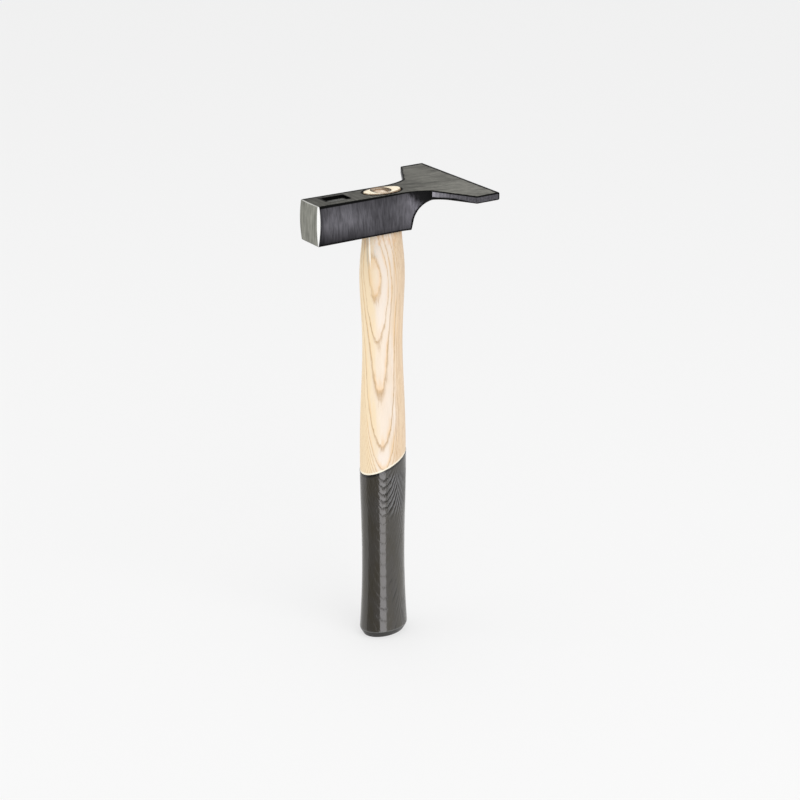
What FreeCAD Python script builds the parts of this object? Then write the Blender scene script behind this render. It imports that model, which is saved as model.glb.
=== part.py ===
import FreeCAD, Part
import math
import os

# A brick hammer of the plasterer's pattern: a forged steel head with a square poll and a
# wide flat blade, an ash handle wedged in the head's eye by a steel ring, and a dipped
# lacquer coat on the grip.
#
# Millimetres.  The origin is the centre of the butt, where the hammer stands on end.
# +Z runs up the handle, -X points at the striking face and +X at the blade's edge.

Vector = FreeCAD.Vector

# ---------------------------------------------------------------- driving dimensions

# Head: heights
HEAD_TOP = 372.4                # top face above the butt
HEAD_HEIGHT = 30.2              # poll and eye block, top to bottom
BLADE_THICKNESS = 6.0

# Head: poll, the square hammer end
POLL_HALF_WIDTH = 12.5          # at the long edges
POLL_CROWNS = (0.8, 1.6)        # swell of the -Y and +Y sides at mid height, at the face
POLL_RISE = 0.6                 # climb of the top from the eye to the striking face
FACE_X = -63.95                 # highest point of the domed striking face
FACE_DOME_RADIUS = 250.0
FACE_DOME_DROP = 0.4            # how far the face's edges lie behind that point
FACE_EDGE_BEVEL = 0.7           # 45 degree bevel round the whole face
FACE_FLAT_BEVEL = 0.9           # a flat bevel on the -Y edge, measured at its two ends

# Head: recess in the top of the poll
RECESS_X = -40.2
RECESS_LENGTH = 19.6
RECESS_WIDTH = 12.2
RECESS_DEPTH = 2.0
RECESS_CORNER = 1.6

# Head: flare and blade, seen from above
FLARE_START_X = 7.7             # the sides leave the poll here on a tangent arc
FLARE_END_X = 32.1              # the arc ends in a sharp line down each side
FLARE_END_Y = 19.7
WING_X = 50.9                   # where the straight diagonals meet the blade's sides
TIP_X = 71.7
BLADE_HALF_WIDTH = 51.6

# Head: underside of the neck, and the blade's edge, seen from the side
NECK_FOOT_X = 18.3              # lower corner of the eye block, blade side
NECK_LEAN = 12.0                # degrees off vertical of the wall above that corner
NECK_RADIUS = 21.6              # concave sweep into the blade's underside
TIP_TOP_RADIUS = 1.3
TIP_BOTTOM_RADIUS = 1.2
EDGE_RADIUS = 0.9               # broken edges of the forging

# Eye, with the handle's end filling it: height above the head's bottom, half length
# along X, half width along Y
EYE_STATIONS = [
    (0.0, 16.7, 9.5),
    (12.0, 15.3, 8.6),
    (HEAD_HEIGHT, 15.8, 8.9),
]
EYE_RIM = 0.8                   # chamfer round each mouth of the eye
HANDLE_PROUD = 0.8              # end of the handle above the head
HANDLE_END_BEVEL = 0.4

# Handle: height above the butt, half width along X, half thickness along Y
BUTT_CHAMFER_RADIAL = 3.4
BUTT_CHAMFER_HEIGHT = 6.0
BUTT_RIM_RADIUS = 4.0           # rounding where the chamfer meets the grip
BUTT_FOOT_RADIUS = 0.8          # and where it meets the flat butt
GRIP_STATIONS = [
    (BUTT_CHAMFER_HEIGHT, 20.7, 15.2),
    (36.0, 19.0, 13.9),
    (70.0, 18.3, 13.4),
    (112.0, 18.9, 13.8),
    (156.0, 19.6, 14.3),
    (206.0, 18.5, 13.2),
    (253.0, 16.9, 11.9),
    (286.0, 18.2, 12.3),
    (306.0, 19.0, 12.5),
    (326.0, 17.9, 11.3),
    (HEAD_TOP - HEAD_HEIGHT, 16.7, 9.5),
]

# Ring wedge, driven into the end grain
RING_X = -1.0                   # it went in off the handle's axis
RING_RADIUS = 8.2
RING_WALL = 2.2                 # at the rim
RING_EDGE_WALL = 0.5            # at the driven edge
RING_TAPER = 0.7                # by how much the outside narrows to the driven edge
RING_HEIGHT = 13.0
RING_SUNK = 0.5                 # its rim below the end of the handle
CORE_SUNK = 1.5                 # crushed wood beside the ring's inner wall
CORE_CROWN = 0.8                # and how far the core's centre stands above that

# Dipped lacquer on the grip
COAT_THICKNESS = 0.25
COAT_EDGE_Z = 153.0             # where its upper edge crosses the handle's axis
COAT_EDGE_SLOPE_X = 0.397       # the edge climbs towards the blade's side
COAT_EDGE_SLOPE_Y = 0.05

HEAD_BOTTOM = HEAD_TOP - HEAD_HEIGHT
BLADE_BOTTOM = HEAD_TOP - BLADE_THICKNESS
HANDLE_END = HEAD_TOP + HANDLE_PROUD
MARGIN = 5.0                    # how far cutting shapes run past what they cut


# ------------------------------------------------------------------------ shared shapes

def arc(start, middle, end):
    return Part.Arc(start, middle, end).toShape()


def prism(edges, direction):
    """Solid from a closed planar outline."""
    return Part.Face(Part.Wire(Part.__sortEdges__(edges))).extrude(direction)


def polygon_edges(points):
    following = points[1:] + points[:1]
    return [Part.makeLine(a, b) for a, b in zip(points, following)]


def oval_loft(stations, ruled=True):
    """Solid through level ovals centred on the handle's axis."""
    wires = []
    for z, half_x, half_y in stations:
        curve = Part.Ellipse(Vector(0, 0, z), half_x, half_y)
        wires.append(Part.Wire(curve.toShape()))
    return Part.makeLoft(wires, True, ruled)


def grown(stations, growth):
    return [(z, half_x + growth, half_y + growth) for z, half_x, half_y in stations]


def in_head(stations):
    """Stations measured from the head's bottom, moved to the row's frame."""
    return [(HEAD_BOTTOM + z, half_x, half_y) for z, half_x, half_y in stations]


def join(shapes):
    """One solid from shapes that share faces."""
    return shapes[0].multiFuse(shapes[1:]).removeSplitter().Solids[0]


# ---------------------------------------------------------------------------- head

def poll_section(x, crowns=(0.0, 0.0), rise=0.0, inset=0.0):
    """Section across X with rounded corners; the -Y and +Y sides swell by crowns."""
    half = POLL_HALF_WIDTH - inset
    low = HEAD_BOTTOM + inset
    high = HEAD_TOP + rise - inset
    middle = (low + high) / 2
    flat = half - EDGE_RADIUS
    corner = EDGE_RADIUS * (1 - math.sqrt(0.5))
    edges = [Part.makeLine(Vector(x, -flat, low), Vector(x, flat, low))]
    edges.append(arc(Vector(x, flat, low), Vector(x, half - corner, low + corner),
                     Vector(x, half, low + EDGE_RADIUS)))
    edges.append(poll_side(x, half, crowns[1], low, middle, high))
    edges.append(arc(Vector(x, half, high - EDGE_RADIUS),
                     Vector(x, half - corner, high - corner), Vector(x, flat, high)))
    edges.append(Part.makeLine(Vector(x, flat, high), Vector(x, -flat, high)))
    edges.append(arc(Vector(x, -flat, high), Vector(x, corner - half, high - corner),
                     Vector(x, -half, high - EDGE_RADIUS)))
    edges.append(poll_side(x, -half, -crowns[0], high, middle, low))
    edges.append(arc(Vector(x, -half, low + EDGE_RADIUS),
                     Vector(x, corner - half, low + corner), Vector(x, -flat, low)))
    return Part.Wire(edges)


def poll_side(x, y, crown, start_z, middle_z, end_z):
    """One side of the section, between the roundings of its corners."""
    towards = math.copysign(EDGE_RADIUS, end_z - start_z)
    start = Vector(x, y, start_z + towards)
    end = Vector(x, y, end_z - towards)
    if crown == 0:
        return Part.makeLine(start, end)
    return arc(start, Vector(x, y + crown, middle_z), end)


def poll():
    face_edge_x = FACE_X + FACE_DOME_DROP
    beyond = poll_section(face_edge_x - MARGIN, POLL_CROWNS, POLL_RISE,
                          FACE_EDGE_BEVEL + MARGIN)
    shoulder = poll_section(face_edge_x + FACE_EDGE_BEVEL, POLL_CROWNS, POLL_RISE)
    eye_end = poll_section(FLARE_START_X)
    return Part.makeLoft([beyond, shoulder, eye_end], True, True)


def flare_half_width(x):
    """Half width of the head, seen from above, on the tangent arc of the flare."""
    run = FLARE_END_X - FLARE_START_X
    rise = FLARE_END_Y - POLL_HALF_WIDTH
    radius = (run ** 2 + rise ** 2) / (2 * rise)
    return POLL_HALF_WIDTH + radius - math.sqrt(radius ** 2 - (x - FLARE_START_X) ** 2)


def blade_plan():
    """Flare, diagonals and blade seen from above, as a block of the head's height."""
    edges = []
    for side in (1, -1):
        xs = (FLARE_START_X, (FLARE_START_X + FLARE_END_X) / 2, FLARE_END_X)
        edges.append(arc(*[Vector(x, side * flare_half_width(x), HEAD_BOTTOM) for x in xs]))
        flare = Vector(FLARE_END_X, side * FLARE_END_Y, HEAD_BOTTOM)
        wing = Vector(WING_X, side * BLADE_HALF_WIDTH, HEAD_BOTTOM)
        tip = Vector(TIP_X, side * BLADE_HALF_WIDTH, HEAD_BOTTOM)
        edges += [Part.makeLine(flare, wing), Part.makeLine(wing, tip)]
    for x, half in ((TIP_X, BLADE_HALF_WIDTH), (FLARE_START_X, POLL_HALF_WIDTH)):
        edges.append(Part.makeLine(Vector(x, -half, HEAD_BOTTOM),
                                   Vector(x, half, HEAD_BOTTOM)))
    return prism(edges, Vector(0, 0, HEAD_HEIGHT))


def blade_profile():
    """Neck and blade seen from the side, as a slab wider than the blade."""
    y = -BLADE_HALF_WIDTH - MARGIN

    def at(x, z):
        return Vector(x, y, z)

    def turn(centre_x, centre_z, radius, start, end):
        points = []
        for degrees in (start, (start + end) / 2, end):
            angle = math.radians(degrees)
            points.append(at(centre_x + radius * math.cos(angle),
                             centre_z + radius * math.sin(angle)))
        return arc(*points)

    lean = math.radians(NECK_LEAN)
    sweep_z = BLADE_BOTTOM - NECK_RADIUS
    sweep_x = (NECK_FOOT_X + NECK_RADIUS / math.cos(lean)
               + (sweep_z - HEAD_BOTTOM) * math.tan(lean))
    sweep = turn(sweep_x, sweep_z, NECK_RADIUS, 180 - NECK_LEAN, 90)
    lower = turn(TIP_X - TIP_BOTTOM_RADIUS, BLADE_BOTTOM + TIP_BOTTOM_RADIUS,
                 TIP_BOTTOM_RADIUS, -90, 0)
    upper = turn(TIP_X - TIP_TOP_RADIUS, HEAD_TOP - TIP_TOP_RADIUS, TIP_TOP_RADIUS, 0, 90)
    rounds = [sweep, lower, upper]
    foot = at(NECK_FOOT_X, HEAD_BOTTOM)
    inner_low = at(FLARE_START_X, HEAD_BOTTOM)
    inner_high = at(FLARE_START_X, HEAD_TOP)
    starts = [inner_high, inner_low, foot] + [e.Vertexes[-1].Point for e in rounds]
    ends = [inner_low, foot] + [e.Vertexes[0].Point for e in rounds] + [inner_high]
    straights = [Part.makeLine(a, b) for a, b in zip(starts, ends)]
    return prism(rounds + straights, Vector(0, -2 * y, 0))


def is_blade_side_edge(edge):
    """True for an edge that lies on one of the upright sides of neck and blade."""
    box = edge.BoundBox
    on_one_side = box.YMin * box.YMax > 0
    return on_one_side and box.XMax > FLARE_START_X + 0.1


def blade():
    block = blade_plan().common(blade_profile()).Solids[0]
    edges = [edge for edge in block.Edges if is_blade_side_edge(edge)]
    for edge in block.Edges:
        centre = edge.CenterOfMass
        if abs(centre.x - NECK_FOOT_X) < 0.01 and abs(centre.y) < 0.01 \
                and edge.BoundBox.ZMax < HEAD_BOTTOM + 0.01:
            edges.append(edge)
    return block.makeFillet(EDGE_RADIUS, edges)


def face_dome():
    """Ball whose surface is the striking face; the whole head lies inside it."""
    centre = Vector(FACE_X + FACE_DOME_RADIUS, 0, (HEAD_TOP + HEAD_BOTTOM) / 2)
    return Part.makeSphere(FACE_DOME_RADIUS, centre)


def flat_bevel():
    """Upright wedge that takes the -Y edge of the face off at 45 degrees."""
    corner_drop = (POLL_HALF_WIDTH ** 2 + (HEAD_HEIGHT / 2) ** 2) / (2 * FACE_DOME_RADIUS)
    x = FACE_X + corner_drop
    z = HEAD_BOTTOM - MARGIN
    points = [
        Vector(x + FACE_FLAT_BEVEL + MARGIN, -POLL_HALF_WIDTH - MARGIN, z),
        Vector(x - MARGIN, -POLL_HALF_WIDTH + FACE_FLAT_BEVEL + MARGIN, z),
        Vector(x - MARGIN, -POLL_HALF_WIDTH - MARGIN, z),
    ]
    return prism(polygon_edges(points), Vector(0, 0, HEAD_HEIGHT + 2 * MARGIN))


def recess():
    """Shallow pocket in the top of the poll."""
    corner = Vector(RECESS_X - RECESS_LENGTH / 2, -RECESS_WIDTH / 2, HEAD_TOP - RECESS_DEPTH)
    block = Part.makeBox(RECESS_LENGTH, RECESS_WIDTH, RECESS_DEPTH + MARGIN, corner)
    upright = [e for e in block.Edges if e.BoundBox.ZMax - e.BoundBox.ZMin > RECESS_DEPTH]
    return block.makeFillet(RECESS_CORNER, upright)


def eye():
    """Hole through the head: narrowest below the middle, flared towards both mouths."""
    low = EYE_STATIONS[0]
    high = EYE_STATIONS[-1]
    below = (low[0] - MARGIN, low[1], low[2])
    above = (high[0] + MARGIN, high[1], high[2])
    hole = oval_loft(in_head([below] + EYE_STATIONS + [above]))
    rims = []
    for (z, half_x, half_y), inwards in ((low, EYE_RIM), (high, -EYE_RIM)):
        mouth = [(z + inwards, half_x, half_y)] + grown([(z, half_x, half_y)], EYE_RIM)
        rims.append(oval_loft(in_head(sorted(mouth))))
    return hole.multiFuse(rims)


def hammer_head():
    forging = join([poll(), blade()]).common(face_dome())
    return forging.cut(flat_bevel()).cut(recess()).cut(eye())


# -------------------------------------------------------------------------- handle

def ring_section(gap_above=0.0):
    """Half section of the ring wedge in the XZ plane, optionally run up past its rim."""
    rim = HANDLE_END - RING_SUNK
    point = rim - RING_HEIGHT
    edge_radius = RING_RADIUS - RING_TAPER
    points = [
        Vector(edge_radius - RING_EDGE_WALL, 0, point),
        Vector(edge_radius, 0, point),
        Vector(RING_RADIUS, 0, rim),
        Vector(RING_RADIUS - RING_WALL, 0, rim),
    ]
    if gap_above:
        points.insert(3, Vector(RING_RADIUS, 0, rim + gap_above))
        points.insert(4, Vector(RING_RADIUS - RING_WALL, 0, rim + gap_above))
    return points


def turned(points):
    """Solid of revolution about the ring's axis from a half section in the XZ plane."""
    face = Part.Face(Part.Wire(polygon_edges(points)))
    solid = face.revolve(Vector(0, 0, 0), Vector(0, 0, 1), 360)
    return solid.translated(Vector(RING_X, 0, 0))


def ring_wedge():
    return turned(ring_section())


def core_hollow():
    """What the crushed end grain inside the ring lacks, down to a low mound."""
    inner = RING_RADIUS - RING_WALL
    floor = HANDLE_END - CORE_SUNK
    return turned([
        Vector(0, 0, floor + CORE_CROWN),
        Vector(inner, 0, floor),
        Vector(inner, 0, HANDLE_END + MARGIN),
        Vector(0, 0, HANDLE_END + MARGIN),
    ])


def edges_at_height(solid, z):
    return [e for e in solid.Edges
            if abs(e.BoundBox.ZMin - z) < 0.01 and abs(e.BoundBox.ZMax - z) < 0.01]


def grip_and_butt(base_z, growth):
    """Handle from the butt at base_z to the head, every half axis grown alike."""
    stations = grown(GRIP_STATIONS, growth)
    z, half_x, half_y = stations[0]
    foot = (base_z, half_x - BUTT_CHAMFER_RADIAL, half_y - BUTT_CHAMFER_RADIAL)
    butt = oval_loft([foot, stations[0]])
    body = join([butt, oval_loft(stations, ruled=False)])
    body = body.makeFillet(BUTT_RIM_RADIUS + growth, edges_at_height(body, z))
    return body.makeFillet(BUTT_FOOT_RADIUS + growth, edges_at_height(body, base_z))


def ash_handle():
    grip = grip_and_butt(COAT_THICKNESS, 0.0)
    z, half_x, half_y = EYE_STATIONS[-1]
    end = (z + HANDLE_PROUD, half_x - HANDLE_END_BEVEL, half_y - HANDLE_END_BEVEL)
    tenon = oval_loft(in_head(EYE_STATIONS + [end]))
    kerf = turned(ring_section(gap_above=MARGIN))
    return join([grip, tenon]).cut(kerf).cut(core_hollow())


def grip_lacquer(handle):
    dipped = grip_and_butt(0.0, COAT_THICKNESS)
    reach = 2 * COAT_EDGE_Z
    above = Part.makeBox(reach, reach, reach, Vector(-reach / 2, -reach / 2, 0))
    normal = Vector(-COAT_EDGE_SLOPE_X, -COAT_EDGE_SLOPE_Y, 1)
    lean = FreeCAD.Rotation(Vector(0, 0, 1), normal)
    above.Placement = FreeCAD.Placement(Vector(0, 0, COAT_EDGE_Z), lean)
    return dipped.cut(above).cut(handle)


# -------------------------------------------------------------------------- write out

def main():
    os.makedirs("parts", exist_ok=True)
    handle = ash_handle()
    nodes = {
        "hammer_head": hammer_head(),
        "ash_handle": handle,
        "ring_wedge": ring_wedge(),
        "grip_lacquer": grip_lacquer(handle),
    }
    for name, shape in nodes.items():
        shape.exportStep("parts/" + name + ".step")
        print(name, "solids", len(shape.Solids), "volume", round(shape.Volume, 1))


main()
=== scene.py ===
import math
from itertools import accumulate

import bpy
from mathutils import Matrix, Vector

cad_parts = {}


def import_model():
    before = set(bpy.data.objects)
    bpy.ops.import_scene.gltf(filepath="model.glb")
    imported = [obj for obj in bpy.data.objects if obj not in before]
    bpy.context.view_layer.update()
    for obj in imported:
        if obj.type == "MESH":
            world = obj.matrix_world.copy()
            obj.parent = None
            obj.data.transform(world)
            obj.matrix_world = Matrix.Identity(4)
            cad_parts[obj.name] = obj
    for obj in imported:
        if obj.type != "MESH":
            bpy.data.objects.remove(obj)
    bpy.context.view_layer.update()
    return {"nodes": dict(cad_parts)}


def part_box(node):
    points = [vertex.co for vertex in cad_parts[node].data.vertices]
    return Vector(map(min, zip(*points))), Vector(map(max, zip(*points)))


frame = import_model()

# Lengths in the materials are millimetres. Lengths of the stage are metres.
MM_PER_METRE = 1000.0

# The head: a square poll towards -X, then a round flare, a kink, and wings up to the blade's tip.
HANDLE_PROUD = 0.8
HEAD_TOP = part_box("ash_handle")[1].z * MM_PER_METRE - HANDLE_PROUD
HEAD_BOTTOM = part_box("hammer_head")[0].z * MM_PER_METRE
HEAD_MIDDLE = (HEAD_TOP + HEAD_BOTTOM) / 2
FACE_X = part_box("hammer_head")[0].x * MM_PER_METRE
TIP_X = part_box("hammer_head")[1].x * MM_PER_METRE
POLL_HALF_WIDTH = 12.5
BLADE_HALF_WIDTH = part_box("hammer_head")[1].y * MM_PER_METRE
BLADE_BOTTOM = HEAD_TOP - 6.0
FLARE_X = 7.7
KINK_X, KINK_Y = 32.1, 19.7
WING_X = 50.9
NECK_AXIS_X, NECK_AXIS_Z, NECK_RADIUS = 40.9, 344.8, 21.6
RECESS_CENTRE_X = -40.2
RECESS_HALF_LENGTH = 9.8
RECESS_HALF_WIDTH = 6.1
EYE_HALF_LENGTH = 15.8
EYE_HALF_WIDTH = 8.9
RING_X = -1.0
RING_RADIUS = 8.2

# The lacquer's upper edge is a slanted plane: its height on the axis, and its slopes along X and Y.
COAT_EDGE_Z = 153.0
COAT_EDGE_SLOPE_X = 0.397
COAT_EDGE_SLOPE_Y = 0.05

# Widths of the black painted on the head's top beside its edges, a painted dark reflection.
PAINTED_DARK_BY_POLL = 3.0
PAINTED_DARK_BY_SLANT = 1.2
PAINTED_DARK_BY_WING = 3.6
PAINTED_DARK_BY_TIP = 3.5

# The ash's growth rings are cylinders about a pith in front of the handle. The pith's bearing from
# -Y towards -X is given by height, and its distance at a level, with its slope and bend from there.
GRAIN_AZIMUTH = math.radians(19.0)
AZIMUTH_BY_HEIGHT = ((150.0, GRAIN_AZIMUTH), (256.0, math.radians(29.0)),
                     (300.0, math.radians(30.5)), (342.0, math.radians(44.0)))
PITH_DISTANCE = 143.6
GRAIN_LEVEL_Z = 170.0
GRAIN_SLOPE = 0.111
GRAIN_BEND = -0.000387
# The years' widths, from the pith side outwards: five wide ones, a spell of narrow ones, then wider
# from year to year, and steady ones to the far side.
FIRST_RADIUS = 119.5
WIDE_YEARS = (2.25, 2.1, 1.65, 3.2, 2.25)
NARROW_YEARS = (1.0,) * 5
WIDENING_YEARS = tuple(1.15 + 0.13 * year for year in range(7))
STEADY_YEARS = (1.9,) * 5 + (1.7,) * 21
YEAR_WIDTHS = WIDE_YEARS + NARROW_YEARS + WIDENING_YEARS + STEADY_YEARS
# Each year's boundary by its distance from the pith.
RING_RADII = tuple(accumulate(YEAR_WIDTHS, initial=FIRST_RADIUS))
# The white streak's place sideways across the handle's front.
WHITE_LINE = -12.0

# Colours that more than one surface has.
# The head's black: painted shade and painted dark reflections on its edges, flanks, corners and recess, and
# its black tip.
BLACK_AND_PAINTED_SHADE = (0.005, 0.005, 0.005)
STRAW = (0.760, 0.600, 0.430)


class Graph:
    """A material's node tree, with one short call for each node."""

    def __init__(self, name):
        self.material = bpy.data.materials.new(name)
        self.material.use_nodes = True
        self.tree = self.material.node_tree
        self.tree.nodes.clear()
        self.shader = self.add("ShaderNodeBsdfPrincipled")
        output = self.add("ShaderNodeOutputMaterial")
        self.tree.links.new(self.shader.outputs["BSDF"], output.inputs["Surface"])
        coordinates = self.add("ShaderNodeTexCoord")
        self.normal = coordinates.outputs["Normal"]
        self.place = self.vector("SCALE", coordinates.outputs["Object"], scale=MM_PER_METRE)
        self.x, self.y, self.z = self.split(self.place)
        self.nx, self.ny, self.nz = self.split(self.normal)

    def add(self, kind, *values, **settings):
        """A new node, with its first inputs linked or set to the values."""
        node = self.tree.nodes.new(kind)
        for key, value in settings.items():
            setattr(node, key, value)
        for socket, value in zip(node.inputs, values):
            self.put(socket, value)
        return node

    def put(self, socket, value):
        if isinstance(value, bpy.types.NodeSocket):
            self.tree.links.new(value, socket)
        elif socket.type == "RGBA" and len(value) == 3:
            socket.default_value = (*value, 1.0)
        else:
            socket.default_value = value

    def math(self, operation, *values, clamp=False):
        return self.add("ShaderNodeMath", *values, operation=operation, use_clamp=clamp).outputs[0]

    def plus(self, a, b):
        return self.math("ADD", a, b)

    def minus(self, a, b):
        return self.math("SUBTRACT", a, b)

    def times(self, a, b):
        return self.math("MULTIPLY", a, b)

    def size(self, value):
        """The value without its sign."""
        return self.math("ABSOLUTE", value)

    def vector(self, operation, a, b=None, scale=None):
        node = self.add("ShaderNodeVectorMath", a, operation=operation)
        if b is not None:
            self.put(node.inputs[1], b)
        if scale is not None:
            self.put(node.inputs["Scale"], scale)
        return node.outputs["Value" if operation in ("LENGTH", "DOT_PRODUCT") else "Vector"]

    def split(self, vector):
        return self.add("ShaderNodeSeparateXYZ", vector).outputs[:3]

    def join(self, x, y, z):
        return self.add("ShaderNodeCombineXYZ", x, y, z).outputs[0]

    def length(self, x, y, z=0.0):
        return self.vector("LENGTH", self.join(x, y, z))

    def facing(self, towards):
        """Cosine of the angle between the surface's normal and a unit vector."""
        return self.vector("DOT_PRODUCT", self.normal, towards)

    def noise(self, place, stretch, detail=3.0, rough=0.5):
        """Noise from 0 to 1 whose lumps measure about stretch millimetres along X, Y and Z."""
        node = self.add("ShaderNodeTexNoise")
        scaled = self.vector("MULTIPLY", place, tuple(1.0 / s for s in stretch))
        self.put(node.inputs["Vector"], scaled)
        self.put(node.inputs["Scale"], 1.0)
        self.put(node.inputs["Detail"], detail)
        self.put(node.inputs["Roughness"], rough)
        return node.outputs["Fac"]

    def step(self, value, low, high):
        """0 below low, 1 above high, smooth between. It falls instead where low is above high."""
        node = self.add("ShaderNodeMapRange", interpolation_type="SMOOTHSTEP")
        rising = low < high
        self.put(node.inputs["Value"], value)
        self.put(node.inputs["From Min"], min(low, high))
        self.put(node.inputs["From Max"], max(low, high))
        self.put(node.inputs["To Min"], 0.0 if rising else 1.0)
        self.put(node.inputs["To Max"], 1.0 if rising else 0.0)
        return node.outputs["Result"]

    def ramp(self, value, low, high, at_low, at_high):
        """A straight run from at_low at low to at_high at high, level beyond both."""
        return self.add("ShaderNodeMapRange", value, low, high, at_low, at_high).outputs["Result"]

    def curve(self, value, points):
        """Straight runs through (place, height) points, level beyond both ends, heights 0 to 1."""
        low, high = points[0][0], points[-1][0]
        node = self.add("ShaderNodeFloatCurve")
        line = node.mapping.curves[0]
        line.points[0].location = (0.0, points[0][1])
        line.points[1].location = (1.0, points[-1][1])
        for place, height in points[1:-1]:
            line.points.new((place - low) / (high - low), height)
        for point in line.points:
            point.handle_type = "VECTOR"
        node.mapping.update()
        self.put(node.inputs["Value"], self.ramp(value, low, high, 0.0, 1.0))
        return node.outputs[0]

    def spread(self, value, low, high):
        """Stretches a value that runs from 0 to 1 to run from low to high."""
        return self.math("MULTIPLY_ADD", value, high - low, low)

    def both(self, *masks):
        """The masks' product: 1 only where every mask is 1."""
        result = masks[0]
        for mask in masks[1:]:
            result = self.times(result, mask)
        return result

    def either(self, *masks):
        """The highest of the masks."""
        result = masks[0]
        for mask in masks[1:]:
            result = self.math("MAXIMUM", result, mask)
        return result

    def blend(self, mask, a, b):
        """Colour or number a where the mask is 0, and b where it is 1."""
        kind = "FLOAT" if isinstance(a, float) or getattr(a, "type", "") == "VALUE" else "RGBA"
        node = self.add("ShaderNodeMix", data_type=kind)
        first, second, result = {"FLOAT": (2, 3, 0), "RGBA": (6, 7, 2)}[kind]
        self.put(node.inputs[0], mask)
        self.put(node.inputs[first], a)
        self.put(node.inputs[second], b)
        return node.outputs[result]

    def cover(self, base, mask, share, colour):
        """Lays a colour over the base where the mask is 1, with a share from 0 to 1 of it."""
        return self.blend(self.times(mask, share), base, colour)

    def tint(self, colour, factor):
        """The colour times a number that varies over the surface."""
        node = self.add("ShaderNodeMix", data_type="RGBA", blend_type="MULTIPLY")
        self.put(node.inputs[0], 1.0)
        self.put(node.inputs[6], colour)
        self.put(node.inputs[7], self.join(factor, factor, factor))
        return node.outputs[2]

    def bump(self, height_mm):
        node = self.add("ShaderNodeBump")
        self.put(node.inputs["Distance"], 1.0 / MM_PER_METRE)
        self.put(node.inputs["Height"], height_mm)
        return node.outputs["Normal"]

    def finish(self, **inputs):
        """Sets the shader's inputs, and gives the material."""
        names = {"base": "Base Color", "rough": "Roughness", "normal": "Normal",
                 "metal": "Metallic", "edge_tint": "Specular Tint", "ior": "IOR",
                 "specular": "Specular IOR Level", "coat": "Coat Weight",
                 "coat_rough": "Coat Roughness", "coat_normal": "Coat Normal"}
        for key, value in inputs.items():
            self.put(self.shader.inputs[names[key]], value)
        return self.material


# ---------------------------------------------------------------- steel

def beyond(g, x):
    """0 on the poll's side of a plane across X, and 1 on the tip's side."""
    return g.step(g.x, x - 0.1, x + 0.1)


def inside_box(g, centre_x, half_x, half_y, soft):
    """1 inside a rectangle of the plan, and 0 outside."""
    away_x = g.minus(g.size(g.minus(g.x, centre_x)), half_x)
    away_y = g.minus(g.size(g.y), half_y)
    return g.step(g.math("MAXIMUM", away_x, away_y), soft, -soft)


def top_line(g):
    """1 on the rounding under the head's top edge, deeper on the poll than on the blade: painted black as
    the dark reflection it shows.
    """
    depth = g.ramp(g.x, -20.0, 20.0, 1.55, 1.15)
    below = g.minus(HEAD_TOP, g.z)
    return g.both(g.step(g.minus(below, depth), 0.35, -0.35), g.step(g.nz, 0.95, 0.88))


def inside_flare(g, side):
    """Distance in from the round flare between the poll and the kink."""
    run, rise = KINK_X - FLARE_X, KINK_Y - POLL_HALF_WIDTH
    radius = (run ** 2 + rise ** 2) / (2 * rise)
    from_centre = g.length(g.minus(g.x, FLARE_X), g.minus(side, POLL_HALF_WIDTH + radius))
    return g.minus(from_centre, radius)


def inside_slant(g, side):
    """Distance in from the slanted edge between the kink and the wing."""
    run, rise = WING_X - KINK_X, BLADE_HALF_WIDTH - KINK_Y
    length = math.hypot(run, rise)
    return g.minus(g.times(g.minus(g.x, KINK_X), rise / length),
                   g.times(g.minus(side, KINK_Y), run / length))


def painted_dark_edge(g, plan):
    """1 on the top beside its far and outer edges, painted black as a dark reflection."""
    side = g.size(g.y)
    body = g.blend(beyond(g, FLARE_X), g.minus(POLL_HALF_WIDTH, side), inside_flare(g, side))
    wing = g.minus(BLADE_HALF_WIDTH, side)
    blade = g.math("MINIMUM", g.minus(inside_slant(g, side), PAINTED_DARK_BY_SLANT), g.minus(wing, PAINTED_DARK_BY_WING))
    inside = g.blend(beyond(g, KINK_X), g.minus(body, PAINTED_DARK_BY_POLL), blade)
    only_far = g.ramp(g.y, -3.0, 3.0, 3.0, 0.0)
    inside = g.math("MINIMUM", g.plus(inside, only_far), g.minus(TIP_X - PAINTED_DARK_BY_TIP, g.x))
    wobble = g.spread(g.noise(g.place, (5.0, 5.0, 9.0), detail=4.0, rough=0.65), -1.6, 1.6)
    return g.both(plan, g.step(g.plus(inside, wobble), 0.7, -0.5))


def painted_shade_margin(g):
    """1 on the strips beside the lower edges and along the neck's arch, painted black as shade."""
    flank = g.step(g.size(g.nz), 0.6, 0.4)
    wobble = g.spread(g.noise(g.place, (5.0, 5.0, 2.0), detail=3.0), -0.35, 0.35)
    height = g.plus(g.z, wobble)
    poll_foot = g.step(height, HEAD_BOTTOM + 1.9, HEAD_BOTTOM + 1.0)
    blade_foot = g.both(g.step(height, BLADE_BOTTOM + 1.3, BLADE_BOTTOM + 0.7), beyond(g, KINK_X))
    from_axis = g.length(g.minus(g.x, NECK_AXIS_X), g.minus(g.z, NECK_AXIS_Z))
    above_neck = g.plus(g.minus(from_axis, NECK_RADIUS), wobble)
    neck = g.both(g.step(above_neck, 2.6, 1.5), g.step(g.x, 14.0, 18.0))
    return g.both(flank, g.either(poll_foot, blade_foot, neck))


def forge_scale(g, blotches, specks):
    """The underside's colour: dark grey scale in patches, with fine pale specks."""
    patches = g.noise(g.place, (10.0, 8.0, 10.0), detail=4.0, rough=0.6)
    scale = g.blend(g.step(patches, 0.25, 0.75), (0.016, 0.015, 0.015), (0.042, 0.040, 0.039))
    return g.tint(scale, g.plus(g.spread(blotches, 0.3, 1.2), g.spread(specks, -0.1, 0.6)))


def slant_place(g):
    """X, less so the further down: it's level along the border of the dark hollow flank."""
    depth = g.minus(HEAD_TOP, g.z)
    return g.minus(g.x, g.times(depth, 0.8))


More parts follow.
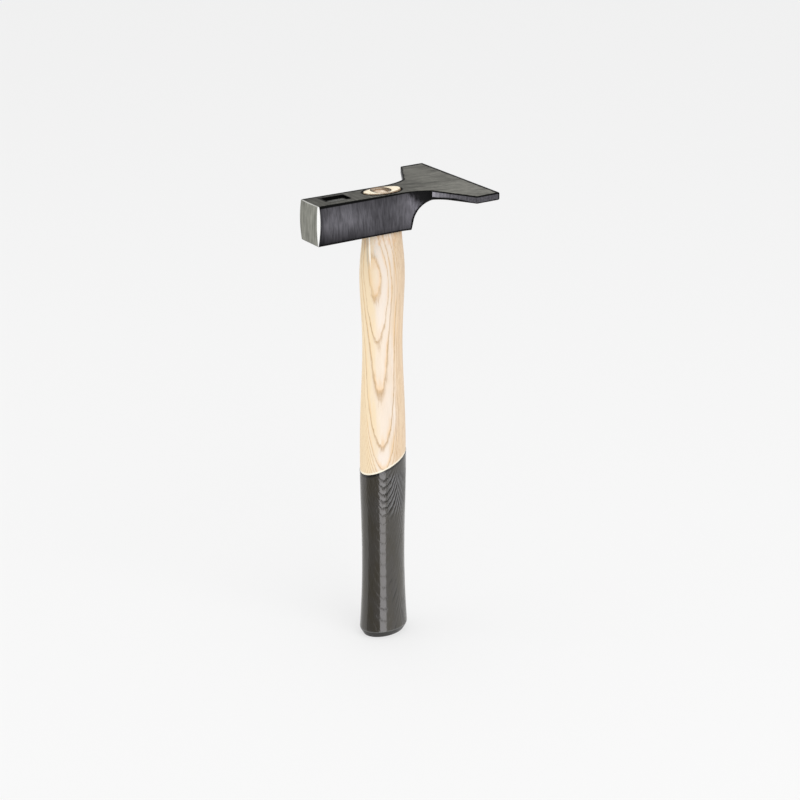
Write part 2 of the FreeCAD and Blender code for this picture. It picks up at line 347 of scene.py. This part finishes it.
def dark_reflection_flare(g):
    """1 on the hollow flanks between the eye and the blade, painted black as the dark reflection they show.
    """
    flank = g.step(g.size(g.nz), 0.85, 0.6)
    ragged = g.spread(g.noise(g.place, (2.2, 2.2, 4.0), detail=4.0, rough=0.7), -7.0, 7.0)
    border = g.step(g.plus(slant_place(g), ragged), 7.5, 20.0)
    return g.both(flank, border, g.step(g.x, KINK_X + 0.15, KINK_X))


def leaned_place(g):
    """The place sheared along X, by more in some spots than in others, as a belt grinder swings."""
    swing = g.spread(g.noise(g.place, (30.0, 30.0, 60.0), detail=1.0), -0.25, 0.25)
    shift = g.times(g.minus(g.z, HEAD_MIDDLE), swing)
    return g.vector("ADD", g.place, g.join(shift, 0.0, 0.0))


def upright_marks(g):
    """The flanks' scratches from 0 to 1: fine ones, and the broader bands between them."""
    place = leaned_place(g)
    fine = g.noise(place, (1.1, 1.1, 9.0), detail=2.0, rough=0.6)
    bands = g.noise(place, (2.6, 2.6, 16.0), detail=3.0, rough=0.65)
    return g.plus(g.times(fine, 0.6), g.times(bands, 0.4))


def level_marks(g):
    """The top's scratches from 0 to 1: across the poll, and along the blade."""
    across = g.noise(g.place, (2.2, 12.0, 9.0), detail=4.0, rough=0.65)
    leaned = g.join(g.x, g.math("MULTIPLY_ADD", g.x, 0.2, g.y), g.z)
    along = g.noise(leaned, (22.0, 5.0, 9.0), detail=5.0, rough=0.7)
    return g.blend(g.step(g.x, 4.0, 26.0), across, along)


def poll_tone(g):
    """The poll's flanks by X as painted shade, paler at mid height than beside the edges, most of all by
    the face, with a painted gleam on the flare.
    """
    along = g.curve(g.x, ((FACE_X + 1.5, 0.045), (-58.0, 0.112), (-54.0, 0.138), (-38.0, 0.150),
                          (-25.0, 0.108), (-16.0, 0.088), (-4.0, 0.076), (8.0, 0.112),
                          (15.0, 0.112), (26.0, 0.095)))
    by_face = g.curve(g.z, ((HEAD_BOTTOM + 1.0, 0.14), (HEAD_BOTTOM + 3.0, 0.27), (HEAD_BOTTOM + 7.5, 0.52),
                            (HEAD_BOTTOM + 12.0, 0.84), (HEAD_BOTTOM + 15.5, 1.0), (HEAD_TOP - 8.0, 0.85),
                            (HEAD_TOP - 4.0, 0.70), (HEAD_TOP - 1.5, 0.58)))
    by_eye = g.curve(g.z, ((HEAD_BOTTOM, 0.45), (HEAD_BOTTOM + 5.0, 0.86), (HEAD_BOTTOM + 13.0, 1.0),
                           (HEAD_TOP - 9.0, 0.98), (HEAD_TOP - 1.0, 0.62)))
    tone = g.times(along, g.blend(g.step(g.x, -36.0, -12.0), by_face, by_eye))
    slant = slant_place(g)
    gleam = g.both(g.step(slant, 3.0, 10.0), g.step(slant, 17.0, 12.0), g.step(g.x, 9.0, 15.0))
    return g.times(tone, g.spread(gleam, 1.0, 1.28))


def flank_tone(g):
    """The flanks' painted shade along X: on the poll, and on the blade's edges a painted reflection that
    fades away from the kink.
    """
    blade = g.curve(g.x, ((KINK_X, 0.46), (KINK_X + 2.0, 0.30), (KINK_X + 7.0, 0.165),
                          (WING_X - 3.0, 0.100), (WING_X + 1.0, 0.085), (TIP_X, 0.105)))
    return g.blend(beyond(g, KINK_X), poll_tone(g), blade)


def top_tone(g):
    """The top's painted shade: darkest on the poll, paler along the blade and towards -Y."""
    along = g.curve(g.x, ((FACE_X, 0.118), (-35.0, 0.150), (20.0, 0.168), (45.0, 0.224), (TIP_X, 0.240)))
    across = g.curve(g.y, ((-BLADE_HALF_WIDTH, 0.99), (-11.0, 0.95), (-7.0, 0.86), (8.0, 0.82),
                           (BLADE_HALF_WIDTH, 0.72)))
    return g.times(along, across)


def ground_steel(g, plan, marks, blotches):
    """Colour of the ground flanks and top, streaked along the grinder's marks, with the painted shade of
    flank_tone and top_tone.
    """
    clouds = g.noise(g.place, (14.0, 14.0, 18.0), detail=3.0)
    flanks = g.tint((1.0, 0.97, 1.08), flank_tone(g))
    top = g.tint((1.27, 1.25, 1.12), top_tone(g))
    shade = g.plus(g.spread(marks, -0.05, 2.05), g.spread(clouds, -0.25, 0.25))
    shade = g.plus(shade, g.spread(blotches, -0.2, 0.2))
    streaks = g.plus(g.spread(marks, -0.1, 2.1), g.spread(blotches, -0.35, 0.35))
    return g.blend(plan, g.tint(flanks, shade), g.tint(top, streaks))


def add_painted_shade_and_scale(g, base, plan, blotches, specks):
    """Adds black painted shade and painted dark reflections on the edges and hollow flanks, and a scaly
    underside.
    """
    dark = g.either(top_line(g), painted_shade_margin(g), g.times(dark_reflection_flare(g), 0.985))
    dark = g.either(g.times(dark, 0.98), g.times(painted_dark_edge(g, plan), 0.92))
    base = g.blend(dark, base, BLACK_AND_PAINTED_SHADE)
    underside = g.step(g.nz, -0.10, -0.35)
    return g.blend(underside, base, forge_scale(g, blotches, specks))


def add_blade_ends(g, base):
    """Paints shade over the wings' upright corners, and blackens the face of the blade's tip."""
    corner = g.join(-0.4985, g.times(g.math("SIGN", g.y), 0.8669), 0.0)
    shaded_corner = g.both(g.step(g.facing(corner), 0.975, 0.99), g.step(g.x, WING_X - 2.0, WING_X - 1.0))
    base = g.cover(base, shaded_corner, 0.6, BLACK_AND_PAINTED_SHADE)
    flank = g.step(g.size(g.nz), 0.6, 0.4)
    tip = g.both(flank, g.step(g.x, TIP_X - 2.2, TIP_X - 1.2))
    return g.cover(base, tip, 0.85, BLACK_AND_PAINTED_SHADE)


def recess_mask(g):
    """1 on the walls and the floor of the poll's recess."""
    plan_box = inside_box(g, RECESS_CENTRE_X, RECESS_HALF_LENGTH + 0.3, RECESS_HALF_WIDTH + 0.3, 0.2)
    return g.both(plan_box, g.step(g.z, HEAD_TOP - 0.1, HEAD_TOP - 0.5),
                  g.step(g.z, HEAD_TOP - 6.0, HEAD_TOP - 5.0))


def add_recess(g, base, plan, blotches, recess, floor):
    """Adds painted shade in the recess: black on its rim and walls, a painted shadow beside its near edge,
    and a dull grey floor, darker towards -X and black by its far wall.
    """
    rim = inside_box(g, RECESS_CENTRE_X - 0.6, RECESS_HALF_LENGTH + 1.3, RECESS_HALF_WIDTH + 1.6, 0.4)
    rim = g.both(rim, plan, g.step(g.y, -RECESS_HALF_WIDTH - 0.3, -RECESS_HALF_WIDTH + 2.5))
    base = g.cover(base, rim, 0.9, BLACK_AND_PAINTED_SHADE)
    near_rim_shadow = g.step(g.size(g.plus(g.y, RECESS_HALF_WIDTH + 0.6)), 0.9, 0.4)
    near_rim_shadow = g.both(plan, near_rim_shadow, g.step(g.x, -51.0, -49.0), g.step(g.x, -34.0, -42.0))
    base = g.cover(base, near_rim_shadow, 0.6, BLACK_AND_PAINTED_SHADE)
    floor_tone_and_shade = g.plus(g.spread(blotches, -0.8, 2.0), g.ramp(g.x, -50.0, -36.0, 0.0, 0.7))
    floor_tone_and_shade = g.math("MAXIMUM", floor_tone_and_shade, 0.05)
    # Painted shade: near black on the walls and beside the far wall, and the floor's grey darker towards
    # -X.
    scale = g.blend(floor, (0.008, 0.008, 0.008), g.tint((0.105, 0.105, 0.098), floor_tone_and_shade))
    return g.blend(recess, base, scale)


def add_eye_rim(g, base):
    """Paints the shadow on the eye's rim, where the tool has chamfered it."""
    reach = g.length(g.math("DIVIDE", g.x, EYE_HALF_LENGTH + 1.5),
                     g.math("DIVIDE", g.y, EYE_HALF_WIDTH + 2.3))
    return g.blend(g.step(reach, 1.04, 0.98), base, (0.008, 0.006, 0.004))


def face_edge(g, towards_y, towards_z, low, high):
    """1 on the striking face's bevel that slants towards a direction across the head."""
    half_way = math.sqrt(0.5)
    slant = g.facing((-half_way, towards_y * half_way, towards_z * half_way))
    return g.both(g.step(g.x, FACE_X + 3.0, FACE_X + 2.6), g.step(slant, low, high))


def add_striking_face(g, base, on_face, on_bevel, face_lines):
    """Adds the bright ground face, a painted highlight on its top rim and painted shade on its other rims,
    and the polished bevel on its near edge, black with a lens of painted highlight.
    """
    cloud = g.noise(g.place, (9.0, 5.0, 9.0), detail=2.0)
    shade = g.plus(g.spread(face_lines, -0.15, 2.15), g.spread(cloud, -0.3, 0.3))
    base = g.blend(on_face, base, g.tint((0.285, 0.285, 0.252), shade))
    # A painted highlight along the face's top rim, then painted shade along its far and lower rims.
    base = g.blend(face_edge(g, 0, 1, 0.86, 0.96), base, (0.62, 0.62, 0.59))
    shaded_rim = g.either(face_edge(g, 1, 0, 0.90, 0.97), face_edge(g, 0, -1, 0.90, 0.97))
    base = g.blend(shaded_rim, base, (0.06, 0.06, 0.055))
    # The painted highlight is widest a little above the middle, and narrows to both ends.
    off_middle = g.minus(g.z, HEAD_MIDDLE + 3.7)
    width = g.minus(2.15, g.times(g.times(off_middle, off_middle), 0.0035))
    past_highlight = g.minus(g.minus(g.x, FACE_X), width)
    base = g.blend(on_bevel, base, (0.030, 0.030, 0.032))
    return g.blend(g.both(on_bevel, g.step(past_highlight, 0.12, -0.12)), base, (1.0, 1.0, 0.99))


def steel_head():
    g = Graph("head_steel")
    plan = g.step(g.nz, 0.6, 0.85)
    marks = g.blend(plan, upright_marks(g), level_marks(g))
    blotches = g.noise(g.place, (4.0, 4.0, 7.0), detail=4.0, rough=0.6)
    specks = g.noise(g.place, (0.9, 0.9, 0.9), detail=2.0)
    pitted = g.both(g.step(g.x, KINK_X, KINK_X + 4.0), g.step(plan, 0.5, 0.0))
    recess = recess_mask(g)
    floor = g.both(plan, g.step(g.y, RECESS_HALF_WIDTH + 0.5, RECESS_HALF_WIDTH - 1.2))
    on_face = g.both(g.step(g.x, FACE_X + 2.2, FACE_X + 1.9), g.step(g.nx, -0.55, -0.75))
    on_bevel = face_edge(g, -1, 0, 0.90, 0.96)
    face_lines = g.noise(g.place, (9.0, 0.9, 16.0), detail=4.0, rough=0.6)

    base = ground_steel(g, plan, marks, blotches)
    base = g.tint(base, g.blend(pitted, 1.0, g.spread(specks, 0.35, 1.65)))
    base = add_painted_shade_and_scale(g, base, plan, blotches, specks)
    base = add_blade_ends(g, base)
    base = add_recess(g, base, plan, blotches, recess, floor)
    base = add_eye_rim(g, base)
    base = add_striking_face(g, base, on_face, on_bevel, face_lines)

    rough = g.spread(marks, 0.25, 0.50)
    rough = g.blend(recess, rough, 0.7)
    rough = g.blend(on_face, rough, g.spread(face_lines, 0.30, 0.42))
    rough = g.blend(on_bevel, rough, 0.16)
    depth = g.plus(g.times(marks, 0.04), g.times(blotches, 0.03))
    depth = g.plus(depth, g.times(g.both(pitted, specks), 0.03))
    depth = g.blend(g.either(on_face, on_bevel), depth, g.times(face_lines, 0.008))
    metal = g.minus(1.0, g.both(recess, floor))
    # The tint holds back the shine that steel would have where it is seen edge-on.
    return g.finish(base=base, rough=rough, metal=metal, normal=g.bump(depth),
                    edge_tint=(0.5, 0.5, 0.5, 1.0))


def steel_ring():
    g = Graph("wedge_steel")
    turned = g.noise(g.place, (3.0, 3.0, 0.15), detail=4.0)
    cloud = g.noise(g.place, (2.0, 2.0, 2.0), detail=4.0, rough=0.6)
    # Painted shade darkens the rim, most of all at its two ends along X.
    along = g.minus(g.x, RING_X)
    shaded_ends = g.either(g.step(along, -3.0, -5.5), g.step(along, 3.0, 5.5),
                       g.times(g.step(g.size(g.y), 4.5, 6.5), 0.15))
    base = g.blend(g.step(cloud, 0.35, 0.65), (0.70, 0.60, 0.49), (0.50, 0.41, 0.32))
    base = g.blend(shaded_ends, base, (0.140, 0.104, 0.066))
    base = g.tint(base, g.spread(turned, 0.8, 1.2))
    height = g.plus(g.times(turned, 0.02), g.times(cloud, 0.06))
    return g.finish(base=base, rough=g.spread(cloud, 0.40, 0.65), metal=0.6, normal=g.bump(height))


# ---------------------------------------------------------------- ash

def ring_count(g, distance):
    """Counts years: the whole part changes at each of RING_RADII."""
    years = len(RING_RADII) - 1
    points = [(radius, year / years) for year, radius in enumerate(RING_RADII)]
    return g.times(g.curve(distance, points), float(years))


def from_pith(g):
    """Distance from the leaning, bent pith, with the wander and the ripple of real growth rings."""
    run = g.minus(g.z, GRAIN_LEVEL_Z)
    slope = g.plus(g.times(run, GRAIN_SLOPE), g.times(g.times(run, run), GRAIN_BEND))
    reach = g.minus(slope, PITH_DISTANCE)
    azimuth = g.curve(g.z, AZIMUTH_BY_HEIGHT)
    pith_x = g.times(reach, g.math("SINE", azimuth))
    pith_y = g.times(reach, g.math("COSINE", azimuth))
    distance = g.length(g.minus(g.x, pith_x), g.minus(g.y, pith_y))
    wander = g.noise(g.place, (16.0, 16.0, 55.0), detail=2.0)
    ripple = g.noise(g.place, (2.6, 2.6, 9.0), detail=3.0, rough=0.6)
    distance = g.plus(distance, g.spread(wander, -0.6, 0.6))
    return g.plus(distance, g.spread(ripple, -0.40, 0.40))


def wood_growth(g):
    """The year's phase from 0 to 1, the open pores from 0 to 1, and the ring count."""
    count = ring_count(g, from_pith(g))
    phase = g.math("FRACT", count)
    grain = g.noise(g.place, (0.35, 0.35, 9.0), detail=2.0, rough=0.6)
    porous = g.step(phase, 0.42, 0.02)
    threshold = g.spread(porous, 0.78, 0.47)
    pores = g.step(g.minus(grain, threshold), 0.0, 0.08)
    return phase, g.both(pores, porous), count


def sideways(g):
    """Millimetres across the handle's front, growing towards the blade."""
    return g.vector("DOT_PRODUCT", g.place, (math.cos(GRAIN_AZIMUTH), -math.sin(GRAIN_AZIMUTH), 0.0))


def coat_edge(g):
    """Height of the lacquer's upper edge at a point of the handle."""
    rise = g.plus(g.times(g.x, COAT_EDGE_SLOPE_X), g.times(g.y, COAT_EDGE_SLOPE_Y))
    return g.plus(rise, COAT_EDGE_Z)


def ash_ground(g, count, clouds, across):
    """The wood without its lines: pale in the middle of the front, honey and straw at the sides."""
    pale = (0.820, 0.720, 0.625)
    honey = (0.840, 0.680, 0.460)
    year = g.add("ShaderNodeTexWhiteNoise", noise_dimensions="1D")
    g.put(year.inputs["W"], g.math("FLOOR", count))
    drift = g.plus(across, g.spread(clouds, -10.0, 10.0))
    warm = g.plus(g.spread(year.outputs["Value"], -0.25, 0.25), g.spread(clouds, 0.1, 0.9))
    side = g.blend(g.step(drift, -1.0, -6.0), STRAW, honey)
    middle = g.both(g.step(drift, -14.5, -5.0), g.step(drift, 9.5, 2.5))
    return g.blend(g.both(middle, g.spread(g.step(warm, 0.95, 0.3), 0.6, 1.0)), side, pale)


def add_years(g, base, phase, clouds):
    """Each year starts in a brown line of pores and ends in a warmer blush."""
    blush = g.both(g.step(phase, 0.62, 1.0), g.step(clouds, 0.35, 0.60))
    base = g.cover(base, blush, 0.55, (0.800, 0.500, 0.210))
    base = g.cover(base, g.step(phase, 0.40, 0.0), 0.45, STRAW)
    boundary = g.either(g.step(phase, 0.20, 0.02), g.step(phase, 0.93, 1.0))
    strength = g.spread(g.noise(g.place, (4.0, 4.0, 22.0), detail=3.0), 0.05, 1.25)
    ink = g.blend(g.step(g.z, 280.0, 295.0), (0.480, 0.300, 0.140), (0.640, 0.400, 0.170))
    fading = g.spread(g.step(g.z, 285.0, 300.0), 0.8, 0.7)
    return g.blend(g.math("MULTIPLY", g.both(boundary, strength), fading, clamp=True), base, ink)


def add_fibres(g, base, pores, fibres, across):
    """Adds the open pores, long brown hair lines towards the blade, and the fine fibres, then the head's
    painted shade, darkening towards the top.
    """
    base = g.blend(g.times(pores, g.ramp(across, 0.0, 9.0, 0.45, 0.8)), base, (0.470, 0.280, 0.120))
    hair = g.noise(g.place, (1.0, 1.0, 70.0), detail=3.0, rough=0.6)
    hair = g.both(g.step(hair, 0.50, 0.60), g.step(hair, 0.70, 0.60), g.step(across, 2.0, 9.0))
    base = g.cover(base, hair, 0.7, (0.600, 0.420, 0.270))
    base = g.tint(base, g.spread(fibres, 0.90, 1.08))
    # Painted shade from the head, darker towards the top.
    return g.tint(base, g.ramp(g.z, 270.0, 340.0, 1.0, 0.88))


def add_stains(g, base, across):
    """Stains below the head: an orange cap, a grey cloud, and a white line with a grey one beside it."""
    stain = g.noise(g.place, (3.0, 3.0, 6.0), detail=4.0, rough=0.65)
    cap = g.both(g.step(g.z, 328.0, 338.0), g.step(stain, 0.46, 0.60))
    base = g.cover(base, cap, 0.55, (0.640, 0.400, 0.220))
    cloud = g.both(g.step(g.z, 322.0, 328.0), g.step(g.z, 338.0, 332.0), g.step(stain, 0.53, 0.42),
                   g.step(across, -11.0, -9.0), g.step(across, -3.0, -5.0))
    base = g.cover(base, cloud, 0.6, (0.600, 0.570, 0.520))
    upper = g.both(g.step(g.z, 314.0, 324.0), g.step(g.y, 2.0, -1.0))
    wobbly = g.plus(across, g.spread(g.noise(g.place, (4.0, 4.0, 30.0)), -0.6, 0.6))
    white = g.step(g.size(g.minus(wobbly, WHITE_LINE)), 0.75, 0.3)
    grey = g.step(g.size(g.minus(wobbly, WHITE_LINE - 1.7)), 0.8, 0.3)
    base = g.cover(base, g.both(upper, white), 0.8, (0.960, 0.930, 0.860))
    return g.cover(base, g.both(upper, grey), 0.6, (0.420, 0.360, 0.280))


def add_borders(g, base):
    """The wood is sanded bare in a thin line along the lacquer's edge, and has a painted shadow where it
    meets the head.
    """
    above_coat = g.minus(g.z, coat_edge(g))
    base = g.cover(base, g.step(above_coat, 1.9, 1.0), 0.75, (0.98, 0.93, 0.78))
    contact_shadow = g.step(g.z, HEAD_BOTTOM - 1.2, HEAD_BOTTOM - 0.2)
    return g.cover(base, contact_shadow, 0.7, (0.16, 0.10, 0.05))


def end_grain(g):
    """The handle's end in the eye: cream outside the ring, crushed inside it with a painted highlight and
    painted shade at its ends along X, and a painted shadow round the eye's rim.
    """
    fleck = g.noise(g.place, (0.7, 2.2, 2.0), detail=3.0)
    cream = g.blend(g.step(fleck, 0.35, 0.7), (0.94, 0.87, 0.70), (0.80, 0.66, 0.45))
    crushed = g.blend(g.step(fleck, 0.35, 0.65), (0.72, 0.57, 0.43), (0.50, 0.37, 0.26))
    along = g.minus(g.x, RING_X)
    # A painted highlight right of the ring's middle.
    from_highlight = g.length(g.math("DIVIDE", g.minus(along, 1.6), 3.0),
                         g.math("DIVIDE", g.plus(g.y, 0.3), 1.8), fleck)
    crushed = g.blend(g.step(from_highlight, 1.1, 0.5), crushed, (0.95, 0.86, 0.72))
    # Painted shade: dark crescents inside the ring at its two ends along X.
    brown = g.either(g.step(along, 3.2, 4.8), g.step(along, -2.8, -4.4))
    crushed = g.cover(crushed, brown, 0.9, (0.165, 0.112, 0.068))
    in_ring = g.step(g.length(along, g.y), RING_RADIUS - 0.6, RING_RADIUS - 1.2)
    base = g.blend(in_ring, cream, crushed)
    # Painted shadow along the eye's rim, wider towards +Y.
    rim = g.length(g.math("DIVIDE", g.x, EYE_HALF_LENGTH), g.math("DIVIDE", g.y, EYE_HALF_WIDTH))
    rim = g.plus(rim, g.times(g.step(g.y, 2.0, 7.0), 0.19))
    return g.blend(g.step(rim, 0.95, 1.0), base, (0.07, 0.045, 0.03))


def ash_wood():
    g = Graph("ash_wood")
    phase, pores, count = wood_growth(g)
    clouds = g.noise(g.place, (6.0, 6.0, 40.0), detail=3.0)
    fibres = g.noise(g.place, (0.35, 0.35, 7.0), detail=4.0, rough=0.7)
    across = sideways(g)

    base = ash_ground(g, count, clouds, across)
    base = add_years(g, base, phase, clouds)
    base = add_fibres(g, base, pores, fibres, across)
    base = add_stains(g, base, across)
    base = add_borders(g, base)
    at_end = g.both(g.step(g.nz, 0.7, 0.9), g.step(g.z, HEAD_TOP - 2.2, HEAD_TOP - 1.8))
    base = g.blend(at_end, base, end_grain(g))

    height = g.plus(g.times(pores, -0.035), g.times(fibres, 0.02))
    rough = g.plus(g.spread(fibres, 0.40, 0.55), g.times(pores, 0.1))
    return g.finish(base=base, rough=rough, normal=g.bump(height), ior=1.45)


# ---------------------------------------------------------------- lacquer

def grain_showing(g, across):
    """How far the grain shows through the lacquer: most below its upper edge and by the blade's side."""
    patches = g.noise(g.place, (9.0, 9.0, 26.0), detail=2.0)
    band = g.both(g.step(g.z, 104.0, 120.0), g.step(g.z, 150.0, 140.0))
    shows = g.spread(g.either(band, g.times(g.step(patches, 0.48, 0.66), 0.4)), 0.08, 1.0)
    return g.both(shows, g.ramp(across, -8.0, 2.0, 0.15, 1.0))


def lacquer_colour(g, phase, relief, shows, across):
    """Brown-black, with painted shade in the grooves over each year's line and a painted highlight on the
    ridges between.
    """
    cloud = g.noise(g.place, (9.0, 9.0, 30.0), detail=3.0)
    base = g.blend(g.step(cloud, 0.3, 0.7), (0.036, 0.031, 0.021), (0.043, 0.039, 0.034))
    # Painted shade in the grooves.
    base = g.cover(base, relief, 0.9, (0.004, 0.004, 0.004))
    ridge_highlight = g.both(g.step(phase, 0.40, 0.60), g.step(phase, 0.95, 0.80), shows, g.step(g.z, 98.0, 112.0))
    ridge_highlight = g.both(ridge_highlight, g.spread(g.both(g.step(across, -1.0, 4.0), g.step(across, 18.0, 12.0)), 0.4, 1.0))
    return g.cover(base, ridge_highlight, 0.9, (0.150, 0.150, 0.155))


def add_coat_ends(g, base, chamfer):
    """Adds the thick black upper edge, and the butt's matt chamfer, painted darker as the dark reflection
    of the floor's shadow, with a paler rim.
    """
    below_edge = g.minus(coat_edge(g), g.z)
    base = g.blend(g.step(below_edge, 2.6, 1.2), base, (0.008, 0.007, 0.006))
    rim = g.both(g.step(g.nz, -0.03, -0.15), g.step(g.nz, -0.75, -0.55))
    # Painted dark reflection on the butt's chamfer.
    base = g.blend(chamfer, base, (0.018, 0.017, 0.015))
    return g.blend(g.both(rim, g.step(g.z, 5.2, 5.7)), base, (0.09, 0.09, 0.085))


def black_lacquer():
    g = Graph("black_lacquer")
    phase, pores, _ = wood_growth(g)
    across = sideways(g)
    shows = grain_showing(g, across)
    relief = g.both(g.either(g.step(phase, 0.45, 0.05), g.step(phase, 0.85, 1.0)), shows)
    chamfer = g.step(g.nz, -0.10, -0.30)
    base = add_coat_ends(g, lacquer_colour(g, phase, relief, shows, across), chamfer)
    gloss = g.both(g.spread(relief, 1.0, 0.15), g.spread(chamfer, 1.0, 0.25))
    peel = g.noise(g.place, (1.8, 1.8, 3.0), detail=2.0)
    height = g.plus(g.times(relief, -0.27), g.times(pores, -0.03))
    skin = g.bump(g.plus(height, g.times(peel, 0.02)))
    return g.finish(base=base, rough=0.45, specular=0.1, normal=skin, coat=gloss, coat_rough=0.10,
                    coat_normal=skin)


# ---------------------------------------------------------------- stage

# The viewpoint: bearing from -Y towards -X, height above level, and distance by lens.
VIEW_BEARING = math.radians(33.493)
VIEW_ELEVATION = math.radians(22.055)
CAMERA_PLACE = (-0.72931, -1.12677, 0.74725)
CAMERA_LENS_MM = 83.25
SENSOR_MM = 36.0
HAMMER_MIDDLE = (0.0, 0.0, 0.2)
GRIP_MIDDLE = (0.0, 0.0, 0.08)
FLOOR_RADIUS = 60.0
FLOOR_SIDES = 96
FLOOR_GREY = 0.305
FLOOR_GLOW = 0.59
SKY_STRENGTH = 0.90
BELOW_STRENGTH = 0.97
FLAG_BEARING = math.radians(57.0)
FLAG_DISTANCE = 0.5
FLAG_HALF_WIDTH = 0.36
FLAG_LOW, FLAG_HIGH = -0.60, -0.02


def direction(bearing, elevation):
    """Unit vector from the object towards a bearing, measured from -Y towards -X."""
    level = math.cos(elevation)
    return Vector((-math.sin(bearing) * level, -math.cos(bearing) * level, math.sin(elevation)))


def add_object(name, data):
    made = bpy.data.objects.new(name, data)
    bpy.context.scene.collection.objects.link(made)
    return made


def face_back(thing, towards):
    """Turns an object that lies in the direction towards, so that it looks back at the hammer."""
    thing.rotation_mode = "QUATERNION"
    thing.rotation_quaternion = towards.to_track_quat("Z", "Y")


def camera():
    lens = bpy.data.cameras.new("camera")
    lens.lens = CAMERA_LENS_MM
    lens.sensor_width = SENSOR_MM
    lens.clip_start = 0.01
    lens.clip_end = 100.0
    made = add_object("camera", lens)
    made.location = CAMERA_PLACE
    face_back(made, direction(VIEW_BEARING, VIEW_ELEVATION))
    bpy.context.scene.camera = made


def softbox(name, bearing, elevation, distance, size, power, target):
    """A rectangular light that faces the target from a bearing and an elevation in degrees."""
    light = bpy.data.lights.new(name, "AREA")
    light.shape = "RECTANGLE"
    light.size, light.size_y = size
    light.energy = power
    made = add_object(name, light)
    towards = direction(math.radians(bearing), math.radians(elevation))
    made.location = Vector(target) + towards * distance
    face_back(made, towards)
    return made


def lights():
    softbox("key_softbox", bearing=-5.0, elevation=40.0, distance=2.2, size=(1.8, 1.4), power=17.0,
            target=HAMMER_MIDDLE)
    # A fill from the striking face's side, for the wood's shaded side.
    fill = softbox("fill_softbox", bearing=112.0, elevation=20.0, distance=2.2, size=(1.6, 1.4),
                   power=9.0, target=HAMMER_MIDDLE)
    fill.visible_glossy = False
    # The tall narrow box that draws the line of light down the lacquer.
    strip = softbox("strip_softbox", bearing=7.5, elevation=-26.0, distance=1.1, size=(0.44, 0.95),
                    power=4.3, target=GRIP_MIDDLE)
    strip.visible_diffuse = False
    strip.data.color = (0.97, 0.95, 1.0)


def flag():
    """A black card below floor level that only the lacquer's gloss sees, left of its bright line."""
    mesh = bpy.data.meshes.new("flag")
    corners = [(-FLAG_HALF_WIDTH, FLAG_LOW, 0.0), (FLAG_HALF_WIDTH, FLAG_LOW, 0.0),
               (FLAG_HALF_WIDTH, FLAG_HIGH, 0.0), (-FLAG_HALF_WIDTH, FLAG_HIGH, 0.0)]
    mesh.from_pydata(corners, [], [(0, 1, 2, 3)])
    made = add_object("flag", mesh)
    material = bpy.data.materials.new("flag_black")
    material.use_nodes = True
    paint = material.node_tree.nodes["Principled BSDF"]
    paint.inputs["Base Color"].default_value = (0.02, 0.02, 0.02, 1.0)
    mesh.materials.append(material)
    towards = direction(FLAG_BEARING, 0.0)
    made.location = towards * FLAG_DISTANCE
    face_back(made, towards)
    made.visible_camera = False
    made.visible_diffuse = False
    made.visible_shadow = False


def world():
    """A plain studio, a little brighter below the horizon than above it."""
    made = bpy.data.worlds.new("studio")
    bpy.context.scene.world = made
    made.use_nodes = True
    nodes, links = made.node_tree.nodes, made.node_tree.links
    sky = nodes["Background"]
    place = nodes.new("ShaderNodeTexCoord")
    height = nodes.new("ShaderNodeSeparateXYZ")
    ramp = nodes.new("ShaderNodeMapRange")
    links.new(place.outputs["Generated"], height.inputs[0])
    links.new(height.outputs["Z"], ramp.inputs["Value"])
    ramp.inputs["From Min"].default_value = -0.05
    ramp.inputs["From Max"].default_value = 0.05
    ramp.inputs["To Min"].default_value = BELOW_STRENGTH
    ramp.inputs["To Max"].default_value = SKY_STRENGTH
    links.new(ramp.outputs["Result"], sky.inputs["Strength"])
    sky.inputs["Color"].default_value = (1.0, 1.0, 1.0, 1.0)


def floor():
    """A wide pale disc that shows only from above."""
    mesh = bpy.data.meshes.new("floor")
    turns = [2 * math.pi * side / FLOOR_SIDES for side in range(FLOOR_SIDES)]
    corners = [(FLOOR_RADIUS * math.cos(turn), FLOOR_RADIUS * math.sin(turn), 0.0) for turn in turns]
    mesh.from_pydata(corners, [], [list(range(FLOOR_SIDES))])
    mesh.materials.append(floor_material())
    made = add_object("floor", mesh)
    made.visible_glossy = False
    made.visible_shadow = False


def floor_material():
    """Pale paint from above, and clear from below."""
    material = bpy.data.materials.new("pale_floor")
    material.use_nodes = True
    nodes, links = material.node_tree.nodes, material.node_tree.links
    paint = nodes["Principled BSDF"]
    paint.inputs["Base Color"].default_value = (FLOOR_GREY, FLOOR_GREY, FLOOR_GREY, 1.0)
    paint.inputs["Emission Color"].default_value = (1.0, 1.0, 1.0, 1.0)
    paint.inputs["Emission Strength"].default_value = FLOOR_GLOW
    paint.inputs["Roughness"].default_value = 0.9
    paint.inputs["Specular IOR Level"].default_value = 0.0
    clear = nodes.new("ShaderNodeBsdfTransparent")
    side = nodes.new("ShaderNodeNewGeometry")
    mix = nodes.new("ShaderNodeMixShader")
    links.new(side.outputs["Backfacing"], mix.inputs[0])
    links.new(paint.outputs["BSDF"], mix.inputs[1])
    links.new(clear.outputs["BSDF"], mix.inputs[2])
    links.new(mix.outputs[0], nodes["Material Output"].inputs["Surface"])
    return material


def dress(node, material):
    """Gives a CAD node its material."""
    shown = frame["nodes"][node]
    shown.data.materials.clear()
    shown.data.materials.append(material)


dress("hammer_head", steel_head())
dress("ring_wedge", steel_ring())
dress("ash_handle", ash_wood())
dress("grip_lacquer", black_lacquer())
camera()
lights()
flag()
world()
floor()
bpy.context.scene.view_settings.view_transform = "Standard"
